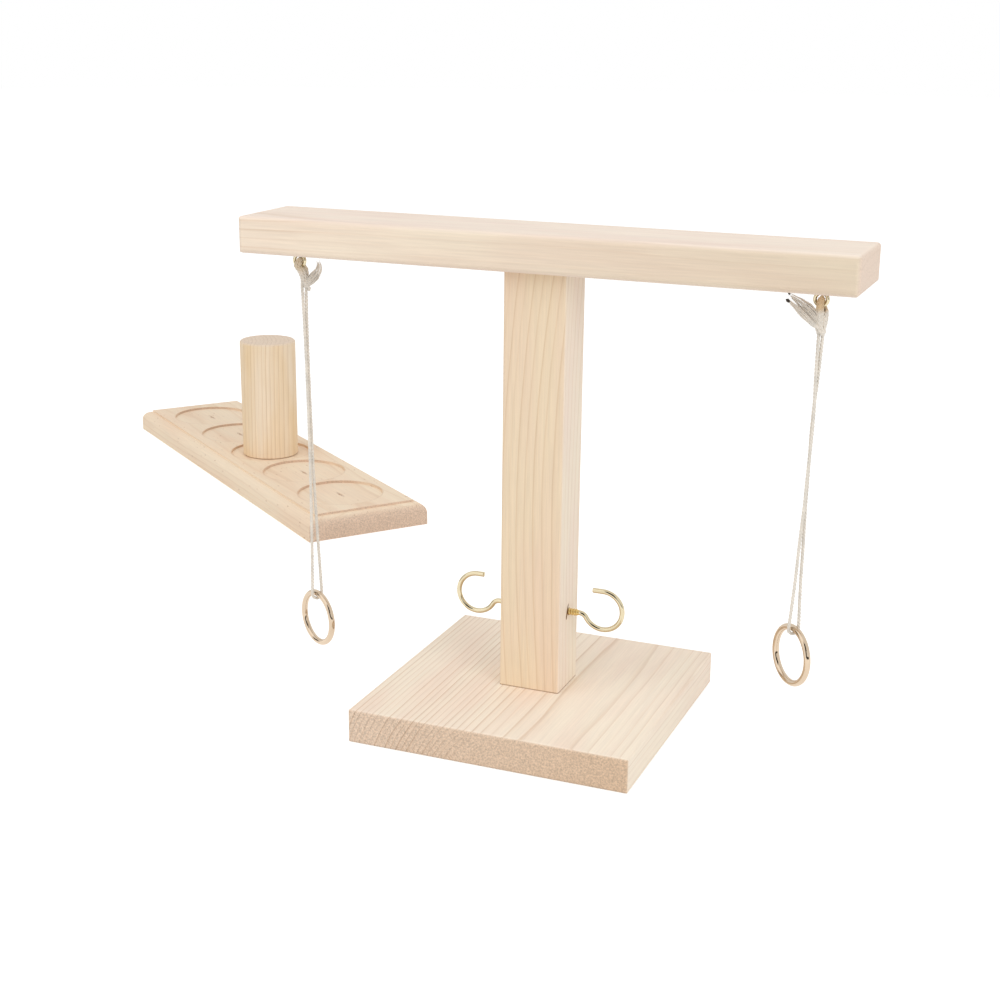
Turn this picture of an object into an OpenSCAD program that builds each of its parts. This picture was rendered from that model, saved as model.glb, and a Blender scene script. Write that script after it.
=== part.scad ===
// Ring toss game: a T-shaped wooden stand with a ring hanging from each end of its beam,
// a screw hook on each side of its post, and a separate ladder board with its marker peg.
// X runs along the beam, the front is -Y, and the floor is Z = 0 under the middle of the base.

/* [Base] */
// Side of the square base
base_w = 141; // [110:1:200]
// Thickness of the base
base_t = 17; // [13:0.5:30]

/* [Post] */
// Width of the post, along the beam
post_w = 31; // [28:0.5:45]
// Depth of the post, front to back
post_d = 26.5; // [24:0.5:45]
// Height of the post above the base
post_h = 207; // [180:1:260]

/* [Beam] */
// Length of the beam
beam_l = 300; // [260:1:380]
// Depth of the beam, front to back
beam_d = 48; // [36:1:70]
// Thickness of the beam
beam_t = 18; // [15:0.5:30]
// Distance from each end of the beam to its screw eye
eye_inset = 20.5; // [12:0.5:40]

/* [Wood edges] */
// Rounding of the beam's edges
beam_round = 2.4; // [1:0.1:4]
// Rounding of the post's edges
post_round = 1.2; // [0.5:0.1:3]
// Rounding of the base's edges
base_round = 1.3; // [0.5:0.1:3]

/* [Hooks] */
// Wire thickness of the hooks
hook_wire = 2.5; // [1.8:0.1:3.2]
// Radius of the hook's round, to the middle of the wire
hook_r = 9.8; // [7:0.1:14]
// Radius of the small bend between the shank and the round
hook_neck_r = 4; // [2.6:0.1:6]
// Height of the hooks' shanks above the floor
hook_h = 55.8; // [42:0.1:90]
// Length of the shank that stays outside the post
hook_stand_off = 5.7; // [3:0.1:9]
// Height of the round's middle above the shank
hook_lift = 2.9; // [1.5:0.1:5]
// Length of the left hook's straight tip
left_hook_tip = 3.8; // [2:0.1:8]
// Length of the right hook's straight tip
right_hook_tip = 5.4; // [2:0.1:8]

/* [Screw eyes] */
// Wire thickness of the screw eyes
eye_wire = 1.7; // [1.2:0.1:2]
// Outer diameter of the screw eyes
eye_od = 7.4; // [7:0.1:10]

/* [Fasteners] */
// Depth of the hooks' and eyes' threads in the wood
thread_depth = 11; // [8:0.5:13]
// Distance from crest to crest of those threads
thread_pitch = 1.3; // [0.9:0.1:2]
// Length of the base screws
screw_l = 42; // [32:1:50]
// Thread diameter of the base screws
screw_d = 4; // [3:0.1:5]
// Head diameter of the base screws
screw_head_d = 8; // [6.5:0.1:10]
// Distance between the two base screws
screw_spacing = 14; // [10:0.5:18]
// Diameter of the dowels between the post and the beam
dowel_d = 6; // [5:0.5:8]
// Length of those dowels
dowel_l = 24; // [18:1:26]
// Distance between the two dowels
dowel_spacing = 15; // [11:0.5:19]

/* [Rings and strings] */
// Outer diameter of the rings
ring_od = 30; // [24:0.2:36]
// Wire thickness of the rings
ring_wire = 3.2; // [2:0.1:4]
// Turn of the left ring about the upright, from facing front
left_ring_turn = -30; // [-60:1:60]
// Turn of the right ring about the upright, from facing front
right_ring_turn = -45; // [-60:1:60]
// Lean of the left string from plumb towards the post, as the photo shows it
left_lean = 1.2; // [0:0.1:4]
// Lean of the right string from plumb towards the post
right_lean = 1.5; // [0:0.1:4]
// Distance of the left string's hanging line to the right of its eye's middle
left_hang_x = 1.85; // [0:0.05:2]
// Distance of the right string's hanging line to the right of its eye's middle
right_hang_x = 1.15; // [0:0.05:2]
// Thickness of the string
cord_d = 1.65; // [1:0.05:1.8]
// Diameter of the knot
knot_d = 5.6; // [4:0.1:6]

/* [Ladder board] */
// Length of the ladder board
board_l = 342; // [325:1:420]
// Width of the ladder board
board_w = 87; // [74:1:120]
// Thickness of the ladder board
board_t = 16.5; // [14:0.5:24]
// Width of the moulded border round the board's top
border_w = 7; // [4:0.2:8]
// Height of the small step at the border's inner edge
border_step = 1.4; // [0.6:0.1:2]
// Diameter of the round seats
seat_d = 58.6; // [46:0.2:60]
// Depth of the round seats
seat_depth = 1.6; // [1:0.1:3]
// Distance between the seats' middles
seat_pitch = 62.4; // [61:0.2:66]
// Diameter of the drill mark in each seat
drill_mark_d = 3.2; // [1:0.1:4]
// Place of the board's middle, along the beam
board_x = -342; // [-380:1:-270]
// Place of the board's middle, behind the stand
board_y = 332; // [250:1:380]
// Turn of the board about the upright
board_turn = -38; // [-60:1:-20]

/* [Marker peg] */
// Diameter of the peg
peg_d = 40.6; // [25:0.2:46]
// Height of the peg
peg_h = 86; // [40:1:110]
// Chamfer of the peg's two rims
peg_chamfer = 0.9; // [0.4:0.1:2]

/* [Clearances] */
// Gap between a fastener and its hole
fit_gap = 0.05; // [0.02:0.01:0.1]
// Gap between the string and the metal that it hangs on
cord_gap = 0.15; // [0.1:0.01:0.3]
// Gap between the string's ends and the knot
knot_gap = 0.3; // [0.2:0.05:0.5]

/* [Hidden] */

$fn = 48;
cord_sides = 8;
seat_count = 5;
overlap = 0.01;
// A bent wire's end stretches are this much slimmer than its round and run a few degrees into it
wire_step = 0.06;
wire_lap = 2;
// How much the threads stand over the wire, and the hooks' core under it, across the diameter
hook_thread_rise = 1.2;
thread_rise = 0.5;
core_drop = 0.3;
eye_neck = 1.8;
screw_pitch = 1.8;
screw_thread_l = 26;
screw_head_h = 2.6;
recess_w = 0.9;
recess_l = 4.2;
recess_h = 1.8;
screw_head_sink = 0.4;
dowel_chamfer = 0.6;
dowel_end_gap = 0.5;
drill_mark_h = 0.7;
drill_point_d = 0.2;

beam_z = base_t + post_h;
eye_x = beam_l / 2 - eye_inset;
eye_ring_r = (eye_od - eye_wire) / 2;
eye_z = beam_z - eye_neck - eye_od / 2;
hook_thread_d = hook_wire + hook_thread_rise;
hook_core_d = hook_wire - core_drop;
eye_thread_d = eye_wire + thread_rise;
eye_core_d = eye_wire - wire_step;
screw_core_d = screw_d - 2 * thread_rise;
ring_r = (ring_od - ring_wire) / 2;

// The small bend and the round of a hook touch where their middles are one sum of radii apart
neck_rise = hook_lift + hook_neck_r;
neck_run = sqrt(pow(hook_r + hook_neck_r, 2) - pow(neck_rise, 2));
neck_angle = atan2(neck_rise, neck_run);

WOOD = "#EED9BC";
BOARD_WOOD = "#F0D5BD";
BRASS = "#D8BE7A";
RING_GOLD = "#E3C08F";
STEEL = "#B9BBBD";
COTTON = "#E6DFD2";

// The string's routes are in millimetres from the hanging line, and down it from the middle of
// the screw eye. Each hanging loop is one strand, the turn under the ring's wire, and the same
// strand again, half a turn round the hanging line.
KNOT_DROP = -12.4;
string_top = KNOT_DROP - knot_d / 2 - knot_gap;
LEFT_STRAND = [
    [0.7, 0.5, string_top], [0.55, 0.7, -22], [0.2, 0.9, -34], [0.1, 0.9, -47], [0.1, 0.9, -60],
    [0.1, 0.9, -74], [0.2, 0.9, -88], [0.3, 0.9, -102], [0.5, 1.1, -118], [0.7, 1.4, -134],
    [1, 1.7, -150], [1.3, 2, -163], [1.5, 2.2, -173.7]
];
RIGHT_STRAND = [
    [-0.8, -0.55, string_top], [-0.65, -0.6, -24], [-0.3, -0.85, -36], [0.2, -0.85, -47.5],
    [0.35, -0.8, -59], [0.2, -0.85, -71], [0, -0.88, -83], [-0.1, -0.88, -94.6], [-0.5, -0.9, -106],
    [-0.8, -1, -118], [-1, -1.2, -130], [-1.4, -1.5, -142], [-1.9, -1.9, -154.4]
];
LEFT_TAILS = [
    [[1.2, -0.2, -12], [4, -0.8, -10.2], [7.2, -1.2, -6.6], [9.3, -1.3, -4], [9.7, -1.1, -1.5],
     [9.4, -0.9, 0.5]],
    [[1.4, 0.7, -13], [3.7, 1.1, -13.8], [4.5, 1.3, -15.4]]
];
RIGHT_TAILS = [
    [[-1.2, -0.8, -12], [-4.4, -2.4, -6.2], [-9.8, -2.8, -3.4], [-13, -3, -1.6], [-15, -3, -0.5]],
    [[-1, -1.6, -13], [-4, -3.2, -9.8], [-8, -4.2, -7.2], [-11, -4.4, -5], [-13.8, -4.4, -3.6],
     [-15.2, -4.4, -3.1]]
];
// The loop of string through the screw eye, round the eye's wire and down into the knot
EYE_LOOP_R = eye_wire / 2 + cord_gap + cord_d / 2;

// A rectangle with rounded corners, its middle at the origin
module eased_outline(width, height, r)
    union() {
        square([width, height - 2 * r], center = true);
        square([width - 2 * r, height], center = true);
        for (x = [-1, 1], y = [-1, 1])
            translate([x * (width / 2 - r), y * (height / 2 - r)])
                circle(r);
    }

// A box with all its edges rounded, standing on Z = 0: what cuts along all three directions share
module eased_block(length, depth, height, r)
    translate([0, 0, height / 2])
        intersection() {
            linear_extrude(height, center = true)
                eased_outline(length, depth, r);
            rotate([90, 0, 0])
                linear_extrude(depth, center = true)
                    eased_outline(length, height, r);
            rotate([90, 0, 90])
                linear_extrude(length, center = true)
                    eased_outline(depth, height, r);
        }

// A pointed shank that stands on its point, with its thread as crests up to thread_l
module threaded_shank(length, thread_l, major_d, core_d, pitch) {
    point_l = major_d;
    turns = floor((thread_l - point_l) / pitch);
    rotate_extrude()
        polygon(concat(
            [[0, 0], [core_d / 2, point_l]],
            [for (i = [0:turns - 1], s = [0.5, 1])
                [s == 1 ? core_d / 2 : major_d / 2, point_l + (i + s) * pitch]],
            [[core_d / 2, length], [0, length]]
        ));
}

// A square-cut arc of round wire in the XY plane
module wire_arc(bend_r, wire, start, sweep)
    rotate([0, 0, start])
        rotate_extrude(angle = sweep)
            translate([bend_r, 0])
                circle(d = wire);

// A tube swept along points, with one ring of sides at each; side is a direction no point's run takes
function unit(v) = v / norm(v);
function run_at(p, i) =
    let (ahead = min(i, len(p) - 2), behind = max(i, 1))
        unit(unit(p[ahead + 1] - p[ahead]) + unit(p[behind] - p[behind - 1]));
module cord_tube(points, d, side) {
    n = len(points);
    rings = [for (i = [0:n - 1])
        let (run = run_at(points, i), u = unit(side - (side * run) * run), v = cross(run, u))
            for (k = [0:cord_sides - 1])
                let (a = (k + 0.5) * 360 / cord_sides)
                    points[i] + d / 2 * (cos(a) * u + sin(a) * v)];
    walls = [for (i = [0:n - 2], k = [0:cord_sides - 1])
        let (a = i * cord_sides + k, b = i * cord_sides + (k + 1) % cord_sides)
            each [[a, b + cord_sides, b], [a, a + cord_sides, b + cord_sides]]];
    ends = [
        [for (k = [0:cord_sides - 1]) k],
        [for (k = [0:cord_sides - 1]) n * cord_sides - 1 - k]
    ];
    polyhedron(rings, concat(walls, ends), convexity = 4);
}

// The same strand half a turn round the hanging line, run upwards
function far_strand(strand) =
    [for (i = [len(strand) - 1:-1:0]) [-strand[i].x, -strand[i].y, strand[i].z]];

// The turn under the ring's wire, from the first strand's foot to the second's
function ring_turn_points(strand) =
    let (foot = strand[len(strand) - 1],
        out = unit([foot.x, foot.y, 0]),
        r = ring_wire / 2 + 2 * cord_gap + cord_d / 2)
        [for (a = [-30:-30:-150])
            r * cos(a) * out + [0, 0, foot.z + r * sin(a)]];

function string_route(strand) = concat(strand, ring_turn_points(strand), far_strand(strand));

// Where the hole or part sits is the same for both sides: side is -1 on the left and 1 on the right
module at_side(side)
    mirror([side < 0 ? 1 : 0, 0, 0])
        children();

module base_plate() {
    color(WOOD)
        difference() {
            eased_block(base_w, base_w, base_t, base_round);
            for (x = [-1, 1])
                translate([x * screw_spacing / 2, 0, 0]) {
                    translate([0, 0, -overlap])
                        cylinder(d = screw_d + 2 * fit_gap, h = base_t + 2 * overlap);
                    translate([0, 0, -overlap])
                        cylinder(d = screw_head_d + 2 * fit_gap, h = screw_head_sink + overlap);
                    translate([0, 0, screw_head_sink])
                        cylinder(
                            d1 = screw_head_d + 2 * fit_gap, d2 = screw_d + 2 * fit_gap,
                            h = screw_head_h
                        );
                }
        }
}

module upright_post() {
    color(WOOD)
        translate([0, 0, base_t])
            difference() {
                eased_post();
                for (x = [-1, 1]) {
                    translate([x * screw_spacing / 2, 0, -overlap])
                        cylinder(
                            d = screw_d + 2 * fit_gap,
                            h = screw_l + screw_head_sink - base_t + fit_gap + overlap
                        );
                    translate([x * dowel_spacing / 2, 0, post_h - dowel_l / 2 - dowel_end_gap])
                        cylinder(d = dowel_d + 2 * fit_gap, h = dowel_l / 2 + dowel_end_gap + overlap);
                    translate([x * (post_w / 2 + overlap), 0, hook_h - base_t])
                        rotate([0, -90 * x, 0])
                            cylinder(
                                d = hook_thread_d + 2 * fit_gap,
                                h = thread_depth + fit_gap + overlap
                            );
                }
            }
}

// The post's ends are cut square, and only its upright edges are rounded
module eased_post()
    linear_extrude(post_h)
        eased_outline(post_w, post_d, post_round);

module cross_beam() {
    color(WOOD)
        translate([0, 0, beam_z])
            difference() {
                eased_block(beam_l, beam_d, beam_t, beam_round);
                for (x = [-1, 1]) {
                    translate([x * dowel_spacing / 2, 0, -overlap])
                        cylinder(d = dowel_d + 2 * fit_gap, h = dowel_l / 2 + dowel_end_gap + overlap);
                    translate([x * eye_x, 0, -overlap])
                        cylinder(d = eye_thread_d + 2 * fit_gap, h = thread_depth + fit_gap + overlap);
                }
            }
}

// Two countersunk wood screws, up through the base into the post
module base_screws() {
    color(STEEL)
        for (x = [-1, 1])
            translate([x * screw_spacing / 2, 0, screw_head_sink])
                difference() {
                    union() {
                        cylinder(d1 = screw_head_d, d2 = screw_d, h = screw_head_h);
                        translate([0, 0, screw_l])
                            mirror([0, 0, 1])
                                threaded_shank(
                                    screw_l - overlap, screw_thread_l, screw_d, screw_core_d,
                                    screw_pitch
                                );
                    }
                    for (turn = [0, 90])
                        rotate([0, 0, turn])
                            translate([-recess_l / 2, -recess_w / 2, -overlap])
                                cube([recess_l, recess_w, recess_h]);
                }
}

// Two plain dowels, half in the post and half in the beam
module beam_dowels() {
    color(BOARD_WOOD)
        for (x = [-1, 1])
            translate([x * dowel_spacing / 2, 0, beam_z - dowel_l / 2])
                chamfered_rod(dowel_d, dowel_l, dowel_chamfer);
}

module chamfered_rod(d, length, chamfer)
    rotate_extrude()
        polygon([
            [0, 0], [d / 2 - chamfer, 0], [d / 2, chamfer],
            [d / 2, length - chamfer], [d / 2 - chamfer, length], [0, length]
        ]);

// A screw hook to the right of the post: its shank runs along X, and its round opens upwards
module screw_hook(tip) {
    shank_end = post_w / 2 + hook_stand_off;
    round_x = shank_end + neck_run;
    slim_wire = hook_wire - wire_step;
    color(BRASS) {
        translate([post_w / 2 - thread_depth, 0, hook_h])
            rotate([0, 90, 0])
                threaded_shank(
                    thread_depth + hook_stand_off, thread_depth + hook_stand_off - core_drop,
                    hook_thread_d, hook_core_d, thread_pitch
                );
        rotate([90, 0, 0]) {
            translate([shank_end, hook_h - hook_neck_r, 0])
                wire_arc(hook_neck_r, slim_wire, neck_angle - wire_lap, 90 - neck_angle + wire_lap);
            translate([round_x, hook_h + hook_lift, 0])
                wire_arc(hook_r, hook_wire, neck_angle - 180, 270 - neck_angle);
        }
        translate([round_x - tip, 0, hook_h + hook_lift + hook_r])
            rotate([0, 90, 0])
                cylinder(d = slim_wire, h = tip + wire_step);
    }
}

module left_hook() at_side(-1) screw_hook(left_hook_tip);

module right_hook() at_side(1) screw_hook(right_hook_tip);

// A screw eye under the right end of the beam, facing front
module screw_eye() {
    color(BRASS) {
        translate([eye_x, 0, eye_z])
            rotate([90, 0, 0])
                rotate_extrude()
                    translate([eye_ring_r, 0])
                        circle(d = eye_wire);
        translate([eye_x, 0, beam_z + thread_depth])
            mirror([0, 0, 1])
                threaded_shank(
                    thread_depth + eye_neck + eye_wire / 2, thread_depth,
                    eye_thread_d, eye_core_d, thread_pitch
                );
    }
}

module left_screw_eye() at_side(-1) screw_eye();

module right_screw_eye() at_side(1) screw_eye();

// What is tied to the eye on one side, leaning a little towards the post
module hung(side)
    translate([side * eye_x, 0, eye_z])
        rotate([0, side * (side < 0 ? left_lean : right_lean), 0])
            children();

// What hangs down the line below the knot, a little beside the eye's middle
function hang_x(side) = side < 0 ? left_hang_x : right_hang_x;
module on_line(side)
    hung(side)
        translate([hang_x(side), 0, 0])
            children();

// The knot under the eye, with the loop through the eye and the string's two cut tails
module knot(side, tails) {
    foot_z = -eye_ring_r;
    loop = concat(
        [[hang_x(side), -cord_d / 2, KNOT_DROP], [hang_x(side) / 2, -EYE_LOOP_R, KNOT_DROP + knot_d]],
        [for (a = [180:-30:0]) [0, EYE_LOOP_R * cos(a), foot_z + EYE_LOOP_R * sin(a)]],
        [[hang_x(side) / 2, EYE_LOOP_R, KNOT_DROP + knot_d], [hang_x(side), cord_d / 2, KNOT_DROP]]
    );
    color(COTTON) {
        hung(side)
            cord_tube(loop, cord_d, [1, 0, 0]);
        on_line(side) {
            translate([0, 0, KNOT_DROP])
                sphere(d = knot_d);
            for (tail = tails)
                cord_tube(tail, cord_d, [0, 1, 0]);
        }
    }
}

module left_knot() knot(-1, LEFT_TAILS);

module right_knot() knot(1, RIGHT_TAILS);

// The long loop of string from the knot down through the ring and back
module string_loop(strand) {
    foot = strand[len(strand) - 1];
    color(COTTON)
        cord_tube(string_route(strand), cord_d, [-foot.y, foot.x, 0]);
}

module left_string() on_line(-1) string_loop(LEFT_STRAND);

module right_string() on_line(1) string_loop(RIGHT_STRAND);

// A plain metal ring that hangs by its wire from a string's lowest turn
module toss_ring(strand, turn)
    color(RING_GOLD)
        translate([0, 0, strand[len(strand) - 1].z - ring_r])
            rotate([90, 0, turn])
                rotate_extrude()
                    translate([ring_r, 0])
                        circle(d = ring_wire);

module left_ring() on_line(-1) toss_ring(LEFT_STRAND, left_ring_turn);

module right_ring() on_line(1) toss_ring(RIGHT_STRAND, right_ring_turn);

// The ladder board lies on the floor behind the stand, off to the left
module on_board_place()
    translate([board_x, board_y, 0])
        rotate([0, 0, board_turn])
            children();

// The outline of one cut across the board: upright sides under a quarter-round border
module border_profile(width)
    union() {
        translate([-width / 2, 0])
            square([width, board_t - border_step - border_w]);
        translate([-width / 2 + border_w, 0])
            square([width - 2 * border_w, board_t - border_step]);
        for (side = [-1, 1])
            translate([side * (width / 2 - border_w), board_t - border_step - border_w])
                circle(border_w);
    }

// The quarter-round border is the space that a lengthwise and a crosswise cut share
module moulded_slab()
    intersection() {
        rotate([90, 0, 90])
            translate([0, 0, -board_l / 2])
                linear_extrude(board_l)
                    border_profile(board_w);
        rotate([90, 0, 0])
            translate([0, 0, -board_w / 2])
                linear_extrude(board_w)
                    border_profile(board_l);
    }

module ladder_board() {
    color(BOARD_WOOD)
        on_board_place()
            difference() {
                union() {
                    moulded_slab();
                    translate([-board_l / 2 + border_w, -board_w / 2 + border_w, border_w])
                        cube([board_l - 2 * border_w, board_w - 2 * border_w, board_t - border_w]);
                }
                for (i = [0:seat_count - 1])
                    translate([(i - (seat_count - 1) / 2) * seat_pitch, 0, board_t - seat_depth]) {
                        cylinder(d = seat_d, h = seat_depth + overlap);
                        translate([0, 0, -drill_mark_h])
                            cylinder(d1 = drill_point_d, d2 = drill_mark_d, h = drill_mark_h + overlap);
                    }
            }
}

module marker_peg() {
    color(WOOD)
        on_board_place()
            translate([0, 0, board_t - seat_depth])
                chamfered_rod(peg_d, peg_h, peg_chamfer);
}

base_plate();
upright_post();
cross_beam();
base_screws();
beam_dowels();
left_hook();
right_hook();
left_screw_eye();
right_screw_eye();
left_knot();
left_string();
left_ring();
right_knot();
right_string();
right_ring();
ladder_board();
marker_peg();
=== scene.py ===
"""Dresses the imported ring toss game: twisted string, tied knots, bent brass wire and pine.

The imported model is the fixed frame. Everything here is in metres in that frame: X runs
along the beam, the front is -Y, and the floor is Z = 0 under the middle of the base.
"""

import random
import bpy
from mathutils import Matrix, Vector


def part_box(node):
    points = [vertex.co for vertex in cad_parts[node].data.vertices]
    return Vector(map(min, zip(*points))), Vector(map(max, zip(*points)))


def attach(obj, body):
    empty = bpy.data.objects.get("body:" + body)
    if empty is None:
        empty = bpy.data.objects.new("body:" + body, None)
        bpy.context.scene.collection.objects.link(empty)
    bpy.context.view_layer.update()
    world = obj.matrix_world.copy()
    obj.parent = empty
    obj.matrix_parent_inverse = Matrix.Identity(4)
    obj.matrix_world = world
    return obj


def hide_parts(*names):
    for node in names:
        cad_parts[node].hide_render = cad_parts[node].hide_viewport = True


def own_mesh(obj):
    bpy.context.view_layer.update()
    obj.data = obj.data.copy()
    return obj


bl_info = {
    "name": "Ring Toss Game",
    "version": (1, 0, 0),
    "blender": (4, 5, 0),
    "location": "View3D > Sidebar > Ring Toss",
    "description": "String, knots, metalwork and pine around the packed ring toss game",
    "category": "Object",
}

from functools import partial
from math import atan2, ceil, cos, pi, radians, sin, sqrt, tan
from typing import NamedTuple

import bpy
from bpy.props import (
    FloatProperty, FloatVectorProperty, IntProperty, PointerProperty,
)
from mathutils import Matrix, Vector

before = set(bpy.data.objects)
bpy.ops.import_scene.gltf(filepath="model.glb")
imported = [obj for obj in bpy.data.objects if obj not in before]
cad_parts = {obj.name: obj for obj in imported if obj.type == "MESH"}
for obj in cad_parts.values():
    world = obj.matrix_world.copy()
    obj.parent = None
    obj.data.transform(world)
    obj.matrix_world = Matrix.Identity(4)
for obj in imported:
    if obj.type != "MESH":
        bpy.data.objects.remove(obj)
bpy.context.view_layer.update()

MM = 0.001


def linear(hex_code):
    """An sRGB hex value as the linear colour that a shader takes."""
    parts = [int(hex_code[i:i + 2], 16) / 255 for i in (0, 2, 4)]
    return [c / 12.92 if c <= 0.04045 else ((c + 0.055) / 1.055) ** 2.4 for c in parts] + [1.0]


# ------------ sizes and colours

# What the string hangs from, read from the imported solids
EYES = {
    side: Vector((sum(corner.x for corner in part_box(f"{side}_screw_eye")) / 2, 0,
                  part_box(f"{side}_screw_eye")[0].z + 3.7 * MM))
    for side in ("left", "right")
}

# How far each string leans from plumb towards the post, and how many millimetres to the right
# of its eye's middle it hangs, as the photo shows it
LEANS = {"left": radians(1.2), "right": radians(1.5)}
HANGS = {"left": 1.85, "right": 1.15}

# The string's routes as in the part's source, in millimetres from the hanging line, and down
# it from the middle of the screw eye. The far strand is the same one half a turn round it.
STRANDS = {
    "left": [
        (0.7, 0.5, -15.5), (0.55, 0.7, -22), (0.2, 0.9, -34), (0.1, 0.9, -47),
        (0.1, 0.9, -60), (0.1, 0.9, -74), (0.2, 0.9, -88), (0.3, 0.9, -102),
        (0.5, 1.1, -118), (0.7, 1.4, -134), (1, 1.7, -150), (1.3, 2, -163), (1.5, 2.2, -173.7),
    ],
    "right": [
        (-0.8, -0.55, -15.5), (-0.65, -0.6, -24), (-0.3, -0.85, -36), (0.2, -0.85, -47.5),
        (0.35, -0.8, -59), (0.2, -0.85, -71), (0, -0.88, -83), (-0.1, -0.88, -94.6),
        (-0.5, -0.9, -106), (-0.8, -1, -118), (-1, -1.2, -130), (-1.4, -1.5, -142),
        (-1.9, -1.9, -154.4),
    ],
}
RING_TURN_R = 2.725


class RINGTOSS_PG_string(bpy.types.PropertyGroup):
    """The cotton string and its knots."""

    diameter: FloatProperty(
        name="Thickness", description="Diameter of the string", default=1.65 * MM,
        min=1 * MM, max=1.8 * MM, unit="LENGTH", precision=5)
    plies: IntProperty(
        name="Plies", description="Yarns twisted together in the string", default=3,
        min=2, max=4)
    lay: FloatProperty(
        name="Lay", description="Length of string in which the plies make one turn",
        default=5.4 * MM, min=3 * MM, max=12 * MM, unit="LENGTH", precision=4)
    colour: FloatVectorProperty(
        name="Cotton", description="Colour of the unbleached cotton", size=4,
        default=linear("F0E8DC"), min=0, max=1, subtype="COLOR")
    singed: FloatVectorProperty(
        name="Singed end", description="Colour of the burnt ends of the right string", size=4,
        default=linear("3A322B"), min=0, max=1, subtype="COLOR")


class RINGTOSS_PG_metal(bpy.types.PropertyGroup):
    """Hooks, screw eyes and rings."""

    hook_wire: FloatProperty(
        name="Hook wire", description="Wire thickness of the hooks", default=2.5 * MM,
        min=1.8 * MM, max=3.2 * MM, unit="LENGTH", precision=4)
    hook_radius: FloatProperty(
        name="Hook radius", description="Radius of a hook's round, to the middle of the wire",
        default=9.8 * MM, min=7 * MM, max=14 * MM, unit="LENGTH", precision=4)
    eye_wire: FloatProperty(
        name="Eye wire", description="Wire thickness of the screw eyes", default=1.7 * MM,
        min=1.2 * MM, max=2 * MM, unit="LENGTH", precision=4)
    thread_pitch: FloatProperty(
        name="Thread pitch", description="Distance from crest to crest of the wood threads",
        default=1.3 * MM, min=0.9 * MM, max=2 * MM, unit="LENGTH", precision=4)
    brass: FloatVectorProperty(
        name="Brass plating", description="Colour of the hooks and screw eyes", size=4,
        default=linear("DCCFAF"), min=0, max=1, subtype="COLOR")
    thread: FloatVectorProperty(
        name="Brass thread", description="Colour of the hooks' duller threads", size=4,
        default=linear("E2C582"), min=0, max=1, subtype="COLOR")
    gold: FloatVectorProperty(
        name="Pale gold plating", description="Colour of the rings", size=4,
        default=linear("D6C2AA"), min=0, max=1, subtype="COLOR")


class RINGTOSS_PG_stage(bpy.types.PropertyGroup):
    """The camera, the floor and the lamps."""

    yaw: FloatProperty(
        name="Yaw", description="Camera's turn round the stand, from straight in front",
        default=0.3846, subtype="ANGLE")
    pitch: FloatProperty(
        name="Pitch", description="Camera's height angle over the horizon",
        default=0.292, subtype="ANGLE")
    roll: FloatProperty(
        name="Roll", description="Camera's turn about its own line of sight",
        default=0.0102, subtype="ANGLE")
    distance: FloatProperty(
        name="Distance", description="Distance from the camera to the point it looks at",
        default=0.81635, min=0.2, max=5, unit="LENGTH")
    target: FloatVectorProperty(
        name="Target", description="Point that the camera looks at",
        default=(-0.021475, 0, 0.108209), subtype="XYZ", unit="LENGTH")
    lens: FloatProperty(
        name="Lens", description="Focal length in millimetres on a 36 mm sensor",
        default=60.01, min=20, max=200)
    floor_radius: FloatProperty(
        name="Floor radius", description="Radius of the round floor", default=6,
        min=1, max=20, unit="LENGTH")
    ambient: FloatProperty(
        name="Room light", description="Strength of the even light from all sides",
        default=0.71, min=0, max=2)


# ------------ lines and tubes

def smooth_line(points, step):
    """Points a step apart along a smooth curve through the given points."""
    knots = [Vector(p) for p in points]
    knots = [2 * knots[0] - knots[1], *knots, 2 * knots[-1] - knots[-2]]
    dense = []
    for a, b, c, d in zip(knots, knots[1:], knots[2:], knots[3:]):
        count = max(2, ceil((c - b).length / step * 2))
        for i in range(count):
            t = i / count
            dense.append(0.5 * (2 * b + (c - a) * t + (2 * a - 5 * b + 4 * c - d) * t * t
                                + (3 * b - 3 * c + d - a) * t ** 3))
    dense.append(knots[-2])
    reach = distances(dense)
    count = max(2, round(reach[-1] / step))
    line, i = [], 0
    for n in range(count + 1):
        want = reach[-1] * n / count
        while i < len(dense) - 2 and reach[i + 1] < want:
            i += 1
        span = reach[i + 1] - reach[i]
        line.append(dense[i].lerp(dense[i + 1], (want - reach[i]) / span if span else 0))
    return line


def distances(line):
    """How far along a line each of its points is."""
    reach = [0.0]
    for a, b in zip(line, line[1:]):
        reach.append(reach[-1] + (b - a).length)
    return reach


def carried_frames(line):
    """Each point's run and two cross directions, carried along the line without twist."""
    runs = [(ahead - behind).normalized()
            for behind, ahead in zip([line[0], *line], [*line[1:], line[-1]])]
    side = runs[0].orthogonal().normalized()
    frames = []
    for i, run in enumerate(runs):
        if i:
            side = runs[i - 1].rotation_difference(run) @ side
        side = (side - side.dot(run) * run).normalized()
        frames.append((run, side, run.cross(side)))
    return frames


def sweep(line, sides, reach):
    """Vertices and faces of a closed tube along line; reach(i, angle) is its radius there."""
    verts, faces = [], []
    for i, (point, (run, u, v)) in enumerate(zip(line, carried_frames(line))):
        for k in range(sides):
            angle = 2 * pi * k / sides
            out = cos(angle) * u + sin(angle) * v
            verts.append(point + reach(i, angle) * out)
    for i in range(len(line) - 1):
        for k in range(sides):
            a, b = i * sides + k, i * sides + (k + 1) % sides
            faces.append((a, b, b + sides, a + sides))
    faces.append(tuple(reversed(range(sides))))
    faces.append(tuple(range(len(verts) - sides, len(verts))))
    return verts, faces


def add_mesh(name, verts, faces, material):
    """One mesh object in the scene."""
    mesh = bpy.data.meshes.new(name)
    mesh.from_pydata(verts, [], faces)
    mesh.materials.append(material)
    piece = bpy.data.objects.new(name, mesh)
    bpy.context.scene.collection.objects.link(piece)
    return piece


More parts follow.
